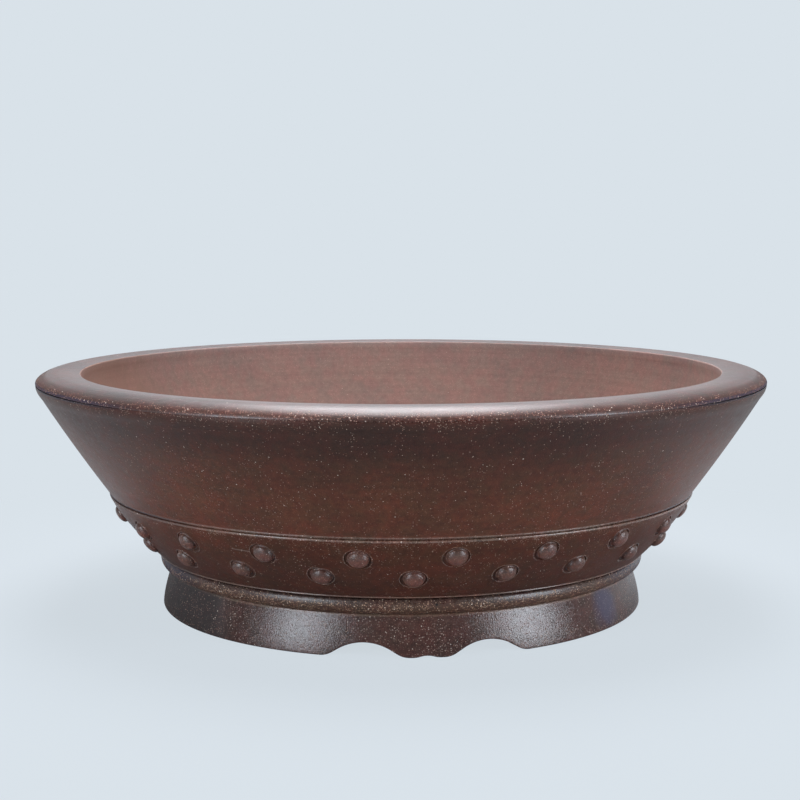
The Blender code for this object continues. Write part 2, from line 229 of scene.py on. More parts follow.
# The mottling's own values and the roughness that they add. How much the finest unevenness and the grains add,
# and how far each pattern stands out in the relief
MOTTLE_ROUGHNESS = (0.3, 0.7, -0.04, 0.05)
RIPPLE_ROUGHNESS, GRIT_ROUGHNESS = 0.04, 0.15
GRIT_RELIEF, LEAST_MARKS_RELIEF, MOTTLE_RELIEF = 0.40, 0.25, 0.6
BUMP_DISTANCE, BUMP_STRENGTH = 0.00020, 0.7

# Where the pot's front half fades in, and where a face looks down for painted floor light: Y in metres, Z of a
# normal
FRONT_HALF = (0.03, -0.02)
PAINTED_FLOOR_LIGHT_FACING = (-0.10, -0.50)

# Camera, fitted to the photograph's circles
CAMERA_PLACE = (-0.00056, -0.8616, 0.2117)
CAMERA_PITCH = math.radians(6.71)
CAMERA_ROLL = math.radians(-0.10)
CAMERA_LENS = 69.43
SENSOR_WIDTH = 36.0

# Linear colours of the backdrop, of the floor by daylight, and of the air behind and before the pot
BACKDROP_COLOUR = (0.694, 0.760, 0.815)
FLOOR_COLOUR = (0.54, 0.59, 0.63)
AIR_COLOUR = (0.50, 0.53, 0.56)
ROOM_COLOUR = (0.11, 0.115, 0.125)

# The floor is a little darker than the backdrop near the pot, and the same from FLOOR_FAR on
FLOOR_HALF = 8.0
FLOOR_NEAR, FLOOR_FAR = 0.17, 0.42
FLOOR_NEAR_SHARE = 0.86
FLOOR_ROUGHNESS = 0.12
FLOOR_IOR = 1.45

# The pale air begins beside the pot, is full this far behind it, and is gone overhead: parts of a direction
AIR_BEHIND = (0.0, 0.55)
AIR_OVERHEAD = (0.50, 0.25)

# Soft boxes: their bearing from the front and elevation in degrees, distance from the pot, width, height,
# radiance and colour
COOL_LIGHT, WARM_LIGHT = (0.84, 0.91, 1.0), (1.0, 0.97, 1.0)
SOFT_BOXES = {
    "soft_box_left": (-46.0, 14.0, 1.3, 0.44, 0.70, 10.6, COOL_LIGHT),
    "soft_box_right": (58.5, 14.0, 1.3, 0.46, 0.70, 12.2, COOL_LIGHT),
    "soft_box_top": (180.0, 72.0, 1.25, 0.62, 1.75, 8.8, WARM_LIGHT),
}
SOFT_BOX_TARGET = Vector((0.0, 0.0, 0.06))


def lerp(a, b, t):
    return a + (b - a) * t


def spread(low, high, count):
    return [lerp(low, high, i / count) for i in range(count + 1)]


def bowed_radius(height, low, high, bow):
    """The radius at a height on a line from low to high that swells outwards by bow at its middle."""
    share = (height - low[1]) / (high[1] - low[1])
    length = math.hypot(high[0] - low[0], high[1] - low[1])
    level_bow = bow * length / (high[1] - low[1])
    return low[0] + (high[0] - low[0]) * share + level_bow * 4 * share * (1 - share)


def belt_radius(height):
    return bowed_radius(height, (BELT_FOOT_RADIUS, BELT_LOW.z), (BELT_TOP_RADIUS, BELT_HIGH.z), BELT_BOW)


def wall_radius(height):
    lip_bottom = WALL_HIGH.z - LIP_HEIGHT
    if height > lip_bottom:
        return WALL_TOP_RADIUS - LIP_FLARE * ((WALL_HIGH.z - height) / LIP_HEIGHT) ** 2
    high = (WALL_TOP_RADIUS - LIP_FLARE, lip_bottom)
    return bowed_radius(height, (WALL_FOOT_RADIUS, WALL_LOW.z), high, WALL_BOW)


def foot_radius(height):
    flare = FOOT_RADIUS - NECK_RADIUS
    return FOOT_RADIUS - flare * (max(height, 0.0) / FOOT_HIGH.z) ** FLARE_POWER


def belt_inner_radius(height):
    rise = min((height - BELT_LOW.z) / COVE_HEIGHT, 1.0)
    return belt_radius(height) - BELT_THICKNESS - COVE_DEPTH * (1 - rise) ** 2


def wall_inner_radius(height):
    """The wall's inside runs on from the belt's slope, and turns upright under the rim."""
    depth, step = RIM_SEAM - WALL_SEAM, 0.001
    share = (height - WALL_SEAM) / depth
    low = belt_inner_radius(WALL_SEAM)
    low_slope = (low - belt_inner_radius(WALL_SEAM - step)) / step * depth
    high_slope = UPRIGHT_SLOPE * depth
    weights = (2 * share ** 3 - 3 * share ** 2 + 1, share ** 3 - 2 * share ** 2 + share,
               3 * share ** 2 - 2 * share ** 3, share ** 3 - share ** 2)
    return sum(w * v for w, v in zip(weights, (low, low_slope, RIM_INNER_RADIUS, high_slope)))


def ellipse_arc(centre, across, up, start, end, count):
    """Points from the angle start to the angle end, in degrees, on an upright ellipse."""
    points = []
    for angle in spread(math.radians(start), math.radians(end), count):
        points.append((centre[0] + across * math.cos(angle), centre[1] + up * math.sin(angle)))
    return points


def side(radius_at, low, high, count):
    return [(radius_at(height), height) for height in spread(low, high, count)]


def rounded(corner, before, after, radius, count=5):
    """Points that round a corner of a profile, between its neighbours before and after."""
    corner, before, after = Vector(corner), Vector(before), Vector(after)
    start = corner + (before - corner).normalized() * radius
    end = corner + (after - corner).normalized() * radius
    return bezier(start, corner, end, count)


def bezier(start, middle, end, count):
    """Points on a quadratic curve from start to end, drawn towards middle."""
    points = []
    for t in spread(0.0, 1.0, count):
        weights = ((1 - t) ** 2, 2 * t * (1 - t), t ** 2)
        points.append(tuple(sum(w * p[i] for w, p in zip(weights, (start, middle, end))) for i in (0, 1)))
    return points


def around(radius, height, angle):
    """A point at an angle from the front, which grows towards +X."""
    return Vector((radius * math.sin(angle), -radius * math.cos(angle), height))


def placed(mesh, smooth=True):
    """A cleaned mesh, as an object of the same name in the scene."""
    bm = bmesh.new()
    bm.from_mesh(mesh)
    bmesh.ops.remove_doubles(bm, verts=bm.verts, dist=MERGE_DISTANCE)
    bmesh.ops.recalc_face_normals(bm, faces=bm.faces)
    bm.to_mesh(mesh)
    bm.free()
    if smooth:
        mesh.shade_smooth()
        mesh.set_sharp_from_angle(angle=SHARP_ANGLE)
    mesh.validate()
    obj = bpy.data.objects.new(mesh.name, mesh)
    bpy.context.scene.collection.objects.link(obj)
    return obj


def mesh_object(name, points, faces, smooth=True):
    mesh = bpy.data.meshes.new(name)
    mesh.from_pydata(points, [], faces)
    return placed(mesh, smooth)


def turn_profile(profile_at, steps, points, faces, closed=True):
    """Adds a profile of (radius, height) points, turned round Z. It may change with the angle."""
    first, count = len(points), len(profile_at(0.0))
    for step in range(steps):
        angle = math.tau * step / steps
        points += [around(radius, height, angle) for radius, height in profile_at(angle)]
    for step in range(steps):
        here, there = first + step * count, first + (step + 1) % steps * count
        for i in range(count if closed else count - 1):
            j = (i + 1) % count
            faces.append((here + i, here + j, there + j, there + i))


def lathe(name, profile_at, steps=TURN_STEPS):
    points, faces = [], []
    turn_profile(profile_at, steps, points, faces)
    return mesh_object(name, points, faces)


def rim_profile(angle):
    """The slab's flat top, its rounded arris inside, and the roll, which ends in a narrow upright strip.
    The groove under the strip opens towards the pot's two sides."""
    inner_top = (RIM_INNER_RADIUS, RIM_HIGH.z - RIM_INNER_DROP)
    shut_at, open_at = SIDE_GROOVE_SINES
    open_share = min(max((abs(math.sin(angle)) - shut_at) / (open_at - shut_at), 0.0), 1.0)
    foot = (RIM_RADIUS, RIM_SEAM + RIM_STRIP_LIFT + SIDE_GROOVE * open_share)
    strip_top = RIM_SEAM + RIM_STRIP_LIFT + STRIP_HEIGHT
    across, up = RIM_ROLL_WIDTH, RIM_HIGH.z - strip_top
    roll = []
    for turn in spread(math.pi / 2, ROLL_END, ROLL_RINGS):
        out, rise = math.cos(turn) ** (2 / ROLL_POWER), math.sin(turn) ** (2 / ROLL_POWER)
        roll.append((RIM_RADIUS - STRIP_LEAN - across + across * out, strip_top + up * rise))
    under = (RIM_RADIUS - ARRIS / 2 - ARRIS * open_share, RIM_SEAM + 0.6 * SIDE_GROOVE * open_share)
    return [
        *rounded(inner_top, (RIM_INNER_RADIUS, RIM_SEAM), roll[0], 1.5 * ARRIS, 8),
        *roll,
        *rounded(foot, roll[-1], under, RIM_STRIP_ROUNDING, 3),
        under,
        (RIM_RADIUS - 4 * ARRIS, RIM_SEAM),
        (RIM_INNER_RADIUS, RIM_SEAM),
    ]


def strip(radius, top, bottom):
    """A narrow upright strip at the foot of a leaning face, undercut where the tool has cut in below it."""
    corner, cut = (radius + STRIP_LEAN, bottom), (radius - GROOVE_DEPTH, bottom - GROOVE_HEIGHT)
    return [(radius, top), *rounded(corner, (radius, top), cut, STRIP_ROUNDING, 4)]


def wall_piece():
    """The wall, which ends in a narrow upright strip over the belt."""
    top_radius, inner_top = WALL_TOP_RADIUS - HAIR, (WALL_TOP_RADIUS - 4 * ARRIS, RIM_SEAM)
    strip_bottom = WALL_SEAM + WALL_STRIP_LIFT
    strip_top = strip_bottom + STRIP_HEIGHT
    face = side(wall_radius, RIM_SEAM - ARRIS / 4, strip_top, WALL_RINGS)
    outer = [(min(radius, top_radius), height) for radius, height in face]
    profile = [
        (RIM_INNER_RADIUS, RIM_SEAM),
        inner_top,
        *rounded((top_radius, RIM_SEAM), inner_top, outer[0], ARRIS / 6, 3),
        *outer[:-1],
        *strip(outer[-1][0], strip_top, strip_bottom),
        (WALL_FOOT_RADIUS - ARRIS / 3, strip_bottom - GROOVE_HEIGHT),
        (WALL_FOOT_RADIUS - ARRIS / 2, WALL_SEAM + HAIR),
        (WALL_FOOT_RADIUS - ARRIS, WALL_SEAM),
        *side(wall_inner_radius, WALL_SEAM, RIM_SEAM, WALL_INNER_RINGS)[:-1],
    ]
    return lathe("wall_clay", lambda angle: profile)


def bead_piece():
    """The half-round bead, whose lower part is the fuller one."""
    crown = SLAB_LOW.z + BEAD_CROWN_HEIGHT
    above = ellipse_arc((BEAD_RADIUS - BEAD_TOP_SET_BACK, crown), BEAD_TOP_SET_BACK, BEAD_HIGH.z - crown, 90, 0,
                        BEAD_TOP_RINGS)
    below = ellipse_arc((NECK_RADIUS, crown), BEAD_RADIUS - NECK_RADIUS, BEAD_CROWN_HEIGHT, 0, -90, BEAD_RINGS)
    profile = [
        (NECK_RADIUS - BEAD_INSET, BELT_SEAM),
        (BEAD_RADIUS - 2 * BEAD_TOP_SET_BACK, BELT_SEAM),
        *above,
        *below[1:],
        (NECK_RADIUS - BEAD_INSET, FOOT_SEAM),
    ]
    return lathe("bead_clay", lambda angle: profile)


def arch_rise(along, height, crown_radius, corner_radius, flank):
    """Height of an arch's edge over the ground, at a distance along the ring from its middle."""
    drop = height - (crown_radius + corner_radius) * (1 - math.cos(flank))
    half_width = (crown_radius + corner_radius) * math.sin(flank) + drop / math.tan(flank)
    along = abs(along)
    if along <= crown_radius * math.sin(flank):
        return height - crown_radius + math.sqrt(crown_radius ** 2 - along ** 2)
    corner = half_width - along
    if corner <= 0:
        return 0.0
    if corner <= corner_radius * math.sin(flank):
        return corner_radius - math.sqrt(corner_radius ** 2 - corner ** 2)
    crown_end = height - crown_radius * (1 - math.cos(flank))
    return crown_end - (along - crown_radius * math.sin(flank)) * math.tan(flank)


def foot_edge(angle):
    """Height of the foot ring's lower edge at an angle from the front."""
    pitch = math.tau / CUTOUT_COUNT
    turned = (angle - CUTOUT_ANGLE + pitch / 2) % pitch - pitch / 2
    along = turned * FOOT_RADIUS
    notch_flank = math.acos(1 - NOTCH_HEIGHT / (NOTCH_CROWN_RADIUS + NOTCH_CORNER_RADIUS))
    rises = [arch_rise(along, NOTCH_HEIGHT, NOTCH_CROWN_RADIUS, NOTCH_CORNER_RADIUS, notch_flank)]
    arch = (ARCH_HEIGHT, ARCH_CROWN_RADIUS, ARCH_CORNER_RADIUS, ARCH_FLANK)
    rises += [arch_rise(along - offset, *arch) for offset in (-ARCH_OFFSET, ARCH_OFFSET)]
    return max(rises)


def foot_section(edge):
    """The foot ring's section where its lower edge is at this height: down outside, and up inside."""
    shoulder = (NECK_RADIUS, FOOT_HIGH.z)
    inner_low = FOOT_RADIUS - FOOT_THICKNESS - FOOT_TAPER * edge / FOOT_HIGH.z
    inner_high = FOOT_RADIUS - FOOT_THICKNESS - FOOT_TAPER
    outer = side(foot_radius, FOOT_HIGH.z - ARRIS, edge + ARRIS, FOOT_RINGS)
    outer_low, inner_corner = (foot_radius(edge), edge), (inner_low, edge)
    return [
        (inner_high, FOOT_SEAM),
        (NECK_RADIUS - 3 * ARRIS, FOOT_SEAM),
        *rounded(shoulder, (NECK_RADIUS - 3 * ARRIS, FOOT_HIGH.z), outer[0], 0.8 * ARRIS, 6),
        *outer,
        *rounded(outer_low, outer[-1], inner_corner, ARRIS, 5)[1:],
        *rounded(inner_corner, outer_low, (inner_high, FOOT_HIGH.z), ARRIS, 3),
    ]


def slab_piece():
    """A flat outline with its holes, as a filled curve whose bevel softens every edge."""
    curve = bpy.data.curves.new("floor_clay", "CURVE")
    curve.dimensions = "2D"
    curve.fill_mode = "BOTH"
    curve.extrude = (BELT_SEAM - FOOT_SEAM) / 2 - SLAB_ARRIS
    curve.bevel_depth = SLAB_ARRIS
    curve.bevel_resolution = 3
    curve.offset = -SLAB_ARRIS
    circles = [(0.0, 0.0, NECK_RADIUS - SLAB_INSET, SLAB_STEPS), (0.0, 0.0, DRAIN_RADIUS, HOLE_STEPS)]
    for i in range(CUTOUT_COUNT):
        place = around(SIDE_DRAIN_CIRCLE, 0.0, CUTOUT_ANGLE + math.tau * i / CUTOUT_COUNT)
        circles.append((place.x, place.y, SIDE_DRAIN_RADIUS, HOLE_STEPS))
    for x, y, radius, steps in circles:
        spline = curve.splines.new("POLY")
        spline.points.add(steps - 1)
        for i, point in enumerate(spline.points):
            angle = math.tau * i / steps
            point.co = (x + radius * math.cos(angle), y + radius * math.sin(angle), 0.0, 1.0)
        spline.use_cyclic_u = True
    source = bpy.data.objects.new("floor_outline", curve)
    bpy.context.scene.collection.objects.link(source)
    graph = bpy.context.evaluated_depsgraph_get()
    mesh = bpy.data.meshes.new_from_object(source.evaluated_get(graph))
    bpy.data.objects.remove(source)
    mesh.transform(Matrix.Translation((0.0, 0.0, (BELT_SEAM + FOOT_SEAM) / 2)))
    mesh.name = "floor_clay"
    return placed(mesh)


def stud_rows():
    """The two rows of studs, as in the frame: the name, angle and height of each."""
    rows = (
        ("upper", BELT_HIGH.z - UPPER_ROW_DROP, UPPER_ROW_ANGLE, UPPER_ROW_SHIFTS),
        ("lower", BELT_LOW.z + LOWER_ROW_RISE, LOWER_ROW_ANGLE, LOWER_ROW_SHIFTS),
    )
    found = []
    for row, height, first, shifts in rows:
        studs = []
        for i in range(STUDS_PER_ROW):
            turn, lift = shifts.get(i + 1, NO_SHIFT)
            angle = first + math.tau * i / STUDS_PER_ROW + math.radians(turn)
            studs.append((f"stud_{row}_{i + 1:02d}", angle, height + lift))
        found.append(studs)
    return found


def row_height(studs, angle):
    """Height of a row of studs at any angle, on straight lines from stud to stud."""
    ring = [(a, h) for _, a, h in studs]
    ring.append((ring[0][0] + math.tau, ring[0][1]))
    turned = ring[0][0] + (angle - ring[0][0]) % math.tau
    for (a, low), (b, high) in zip(ring, ring[1:]):
        if turned <= b:
            return lerp(low, high, (turned - a) / (b - a))
    return ring[-1][1]


def belt_frame(height, angle):
    """Origin and unit vectors on the belt: level, up the belt, and out along its normal."""
    step = 0.0005
    slope = (belt_radius(height + step) - belt_radius(height - step)) / (2 * step)
    outwards = around(1.0, 0.0, angle)
    up_the_belt = (outwards * slope + Vector((0.0, 0.0, 1.0))).normalized()
    level = Vector((math.cos(angle), math.sin(angle), 0.0))
    return around(belt_radius(height), height, angle), level, up_the_belt, level.cross(up_the_belt)


def belt_cell(centre_angle, centre_height, outline, points, faces):
    """One stud's cell of the belt: spokes from the socket's flat floor out to the cell's outline."""
    origin, _, up, normal = belt_frame(centre_height, centre_angle)
    radius, lean = belt_radius(centre_height), up.z
    first = len(points)
    width = SOCKET_SECTION[-1][0] - SOCKET_MOUTH
    for angle, height in outline:
        across, rise = (angle - centre_angle) * radius, (height - centre_height) / lean
        reach = math.hypot(across, rise)
        squeeze = min(1.0, (reach - CELL_MARGIN - SOCKET_MOUTH) / width)
        spoke = []
        for distance, offset in SOCKET_SECTION:
            if distance > SOCKET_MOUTH:
                distance = SOCKET_MOUTH + (distance - SOCKET_MOUTH) * squeeze
            share = distance / reach
            spoke.append((centre_angle + across * share / radius, centre_height + rise * share * lean, offset))
        last_angle, last_height, _ = spoke[-1]
        for t in spread(0.0, 1.0, CELL_RINGS)[1:]:
            spoke.append((lerp(last_angle, angle, t), lerp(last_height, height, t), 0.0))
        for spoke_angle, spoke_height, offset in spoke:
            base, _, _, out = belt_frame(spoke_height, spoke_angle)
            points.append(base + out * offset)
    count, centre = len(spoke), len(points)
    points.append(origin + normal * SOCKET_FLOOR)
    for i in range(len(outline)):
        here, there = first + i * count, first + (i + 1) % len(outline) * count
        faces += [(here + k, here + k + 1, there + k + 1, there + k) for k in range(count - 1)]
        faces.append((here, there, centre))


def belt_cells(top, bottom, points, faces):
    """Cells that tile the belt's outer face: their sides lie midway between the studs of a row, and the two
    rows of cells meet midway between the rows of studs."""
    upper, lower = stud_rows()

    def middle(step):
        return (row_height(upper, step * BELT_LATTICE) + row_height(lower, step * BELT_LATTICE)) / 2

    for studs, low_at, high_at in ((upper, middle, lambda step: top), (lower, lambda step: bottom, middle)):
        angles = [angle for _, angle, _ in studs]
        angles = [angles[-1] - math.tau, *angles, angles[0] + math.tau]
        sides = [round((a + b) / 2 / BELT_LATTICE) for a, b in zip(angles, angles[1:])]
        for (_, angle, height), left, right in zip(studs, sides, sides[1:]):
            rises = spread(0.0, 1.0, CELL_ROWS)[:-1]
            outline = [
                *((step, low_at(step)) for step in range(left, right)),
                *((right, lerp(low_at(right), high_at(right), t)) for t in rises),
                *((step, high_at(step)) for step in range(right, left, -1)),
                *((left, lerp(high_at(left), low_at(left), t)) for t in rises),
            ]
            belt_cell(angle, height, [(step * BELT_LATTICE, z) for step, z in outline], points, faces)


def belt_piece():
    """The belt's outer face is made of cells, one for each stud. The rest is turned on the same lattice."""
    top, bottom = BELT_HIGH.z - 2 * ARRIS, BELT_LOW.z + BELT_STRIP_TOP
    points, faces = [], []
    belt_cells(top, bottom, points, faces)
    head, top_point = (BELT_TOP_RADIUS - HAIR, BELT_HIGH.z), (belt_radius(top), top)
    profile = [
        *strip(belt_radius(bottom), bottom, bottom - STRIP_HEIGHT),
        (BELT_FOOT_RADIUS, BELT_LOW.z + 8 * HAIR),
        (BELT_FOOT_RADIUS - ARRIS, BELT_LOW.z + 0.8 * HAIR),
        (BELT_FOOT_RADIUS - 4 * ARRIS, BELT_SEAM),
        *side(belt_inner_radius, BELT_SEAM, WALL_SEAM, BELT_INNER_RINGS),
        (WALL_FOOT_RADIUS - ARRIS, WALL_SEAM),
        *rounded(head, (WALL_FOOT_RADIUS, BELT_HIGH.z), top_point, BELT_ARRIS, 9),
        top_point,
    ]
    turn_profile(lambda angle: profile, BELT_STEPS, points, faces, closed=False)
    return mesh_object("belt_clay", points, faces)


def stud_piece(name, angle, height, draw):
    """A hand-pressed dome: each is a little wider or narrower, higher or lower than the next."""
    origin, level, up, normal = belt_frame(height, angle)
    low_rise, low_width = FLATTER_STUDS.get(name, (1.0, 1.0))
    width, rise = draw.uniform(*STUD_WIDTHS) * low_width, draw.uniform(*STUD_HEIGHTS) * low_rise
    lean_x, lean_y = draw.uniform(*STUD_LEANS), draw.uniform(*STUD_LEANS)
    # Each sits against one side of its socket, which leaves a pocket on the other, unless it fills the socket
    shift_x, shift_y = draw.uniform(*STUD_SIDE_SHIFTS), draw.uniform(*STUD_UP_SHIFTS)
    if math.sin(angle) < LEFT_STUDS:
        shift_x = -shift_x
    if low_width > 1.0:
        shift_x = shift_y = 0.0
    origin = origin + level * shift_x + up * shift_y
    base = SOCKET_FLOOR + STUD_CLEARANCE
    foot, waist = STUD_RADIUS * width, (STUD_RADIUS - STUD_FILLET) * width
    section = bezier((foot, base), (waist, base), (waist, base + STUD_FILLET), 4)
    dome = (0.0, base + STUD_FILLET)
    section += ellipse_arc(dome, waist, STUD_RISE * rise - dome[1], 0, 90, STUD_RINGS)[1:]
    points, faces = [], []
    for distance, up_from_belt in section[:-1]:
        for step in range(STUD_STEPS):
            turn = math.tau * step / STUD_STEPS
            x, y = distance * math.cos(turn), distance * math.sin(turn)
            swell = up_from_belt + x * lean_x + y * lean_y
            points.append(origin + level * x + up * y + normal * swell)
    top = len(points)
    points.append(origin + normal * section[-1][1])
    last = len(section) - 2
    for step in range(STUD_STEPS):
        after = (step + 1) % STUD_STEPS
        for ring in range(last):
            a, b = ring * STUD_STEPS, (ring + 1) * STUD_STEPS
            faces.append((a + step, a + after, b + after, b + step))
        faces.append((last * STUD_STEPS + step, last * STUD_STEPS + after, top))
    faces.append(tuple(range(STUD_STEPS)))
    return mesh_object(name + "_clay", points, faces)


class Tree:
    """The node tree of a material or a world, built by short calls. Values that are sockets are linked, others
    are set."""

    def __init__(self, owner):
        owner.use_nodes = True
        self.owner = owner
        self.nodes = owner.node_tree.nodes
        self.links = owner.node_tree.links

    def put(self, socket, value):
        if isinstance(value, bpy.types.NodeSocket):
            self.links.new(value, socket)
        elif socket.type == "RGBA":
            socket.default_value = (*value, 1.0)
        else:
            socket.default_value = value

    def node(self, kind, settings=None, **inputs):
        made = self.nodes.new(kind)
        for key, value in (settings or {}).items():
            setattr(made, key, value)
        for key, value in inputs.items():
            self.put(made.inputs[key.replace("_", " ")], value)
        return made

    def fill(self, made, *values):
        """Puts values into a node's sockets in their order."""
        for socket, value in zip(made.inputs, values):
            self.put(socket, value)
        return made.outputs

    def math(self, operation, *values):
        return self.fill(self.node("ShaderNodeMath", {"operation": operation}), *values)[0]

    def add(self, total, *values):
        for value in values:
            total = self.math("ADD", total, value)
        return total

    def times(self, product, *values):
        for value in values:
            product = self.math("MULTIPLY", product, value)
        return product

    def vector(self, operation, *values):
        """The vector that an operation gives, or its number where it gives one."""
        outputs = self.fill(self.node("ShaderNodeVectorMath", {"operation": operation}), *values)
        return outputs["Value" if operation in ("DOT_PRODUCT", "LENGTH", "DISTANCE") else "Vector"]

    def mix(self, share, a, b, blend="MIX"):
        settings = {"data_type": "RGBA", "blend_type": blend}
        return self.node("ShaderNodeMix", settings, Factor=share, A=a, B=b).outputs["Result"]

    def mix_shader(self, share, a, b):
        return self.fill(self.nodes.new("ShaderNodeMixShader"), share, a, b)[0]

    def remap(self, value, low, high, to_low=0.0, to_high=1.0, interpolation="LINEAR"):
        made = self.node("ShaderNodeMapRange", {"interpolation_type": interpolation}, Value=value,
                         From_Min=low, From_Max=high, To_Min=to_low, To_Max=to_high)
        return made.outputs["Result"]

    def fade(self, value, low, high, to_low=0.0, to_high=1.0):
        return self.remap(value, low, high, to_low, to_high, "SMOOTHSTEP")

    def noise(self, vector, scale, detail=2.0, roughness=0.5, output="Fac"):
        made = self.node("ShaderNodeTexNoise", Vector=vector, Scale=scale, Detail=detail, Roughness=roughness)
        return made.outputs[output]

    def by_height(self, height, stops):
        """A number or colour that runs from stop to stop. Stops are (height, value) pairs."""
        low, high = stops[0][0], stops[-1][0]
        ramp = self.nodes.new("ShaderNodeValToRGB")
        self.put(ramp.inputs[0], self.remap(height, low, high))
        elements = ramp.color_ramp.elements
        while len(elements) < len(stops):
            elements.new(0.5)
        for element, (at, value) in zip(elements, stops):
            element.position = (at - low) / (high - low)
            element.color = (*value, 1.0) if isinstance(value, tuple) else (value, value, value, 1.0)
        return ramp.outputs[0]


def within(tree, value, low, high, soft):
    """1 between low and high, falling to 0 over a soft edge outside them."""
    return tree.times(tree.fade(value, low - soft, low), tree.fade(value, high, high + soft, 1.0, 0.0))


def at_side(tree, place, low, high, soft, near, far):
    """1 on part of the pot's front half: a band of heights with a soft edge, which begins this near and is full
    this far to the side. Below zero these are on the left alone, otherwise on both sides."""
    x, y, height = tree.node("ShaderNodeSeparateXYZ", Vector=place).outputs
    aside = tree.fade(x if near < 0.0 else tree.math("ABSOLUTE", x), near, far)
    return tree.times(aside, tree.fade(y, *FRONT_HALF), within(tree, height, low, high, soft))


def on_line(tree, place, start, end, half_width):
    """1 on a straight line from start to end, falling to 0 over its half width and at its ends."""
    start, end = Vector(start), Vector(end)
    length = (end - start).length
    offset, direction = tree.vector("SUBTRACT", place, start), (end - start) / length
    along = tree.vector("DOT_PRODUCT", offset, direction)
    gap = tree.vector("LENGTH", tree.vector("CROSS_PRODUCT", offset, direction))
    near = tree.fade(gap, half_width, half_width * 0.4)
    return tree.times(near, within(tree, along, 0.0, length, half_width * 2))


def shaded(tree, body, shade, strength):
    """The body's colour times a shade."""
    return tree.mix(strength, body, tree.mix(1.0, body, shade, "MULTIPLY"))


def grains(tree, place, scale, share, size):
    """Grains of grit, at most one in each cell of this scale: their mask, and a random value for each."""
    cells = tree.node("ShaderNodeTexVoronoi", Vector=place, Scale=scale)
    draw = tree.node("ShaderNodeSeparateColor", Color=cells.outputs["Color"]).outputs
    chosen = tree.math("LESS_THAN", draw[0], share)
    # The smallest is a little over half as large as the largest, and each fades over its outer part
    reach = tree.math("MULTIPLY_ADD", draw[1], size * 0.45, size * 0.55)
    inside = tree.remap(cells.outputs["Distance"], tree.times(reach, 0.6), reach, 1.0, 0.0)
    return tree.times(chosen, inside), draw[2]


def gritty(tree, place, body, share, tones, grain, contrast):
    """Clay with fine dust, buff grains and a few pale ones in it: its colour, and the mask of the grains."""
    wobble = tree.noise(place, WOBBLE_SCALE, 1.0, output="Color")
    place = tree.vector("MULTIPLY_ADD", wobble, WOBBLE_REACH, place)
    dust_share = tree.math("MULTIPLY_ADD", share, DUST_SHARE, LEAST_DUST)
    dust, dust_draw = grains(tree, place, DUST_CELLS / grain, dust_share, DUST_SIZE)
    buff, buff_draw = grains(tree, place, BUFF_CELLS / grain, tree.times(share, BUFF_SHARE), BUFF_SIZE)
    pale, pale_draw = grains(tree, place, PALE_CELLS / grain, tree.times(share, PALE_SHARE), PALE_SIZE)
    dark_buff, light_buff, dark_pale, light_pale = tones
    body = shaded(tree, body, tree.mix(dust_draw, *DUST_SHADES), tree.times(dust, contrast))
    body = tree.mix(tree.times(buff, BUFF_COVER), body, tree.mix(buff_draw, dark_buff, light_buff))
    body = tree.mix(tree.times(pale, PALE_COVER), body, tree.mix(pale_draw, dark_pale, light_pale))
    return body, tree.math("MAXIMUM", buff, pale)


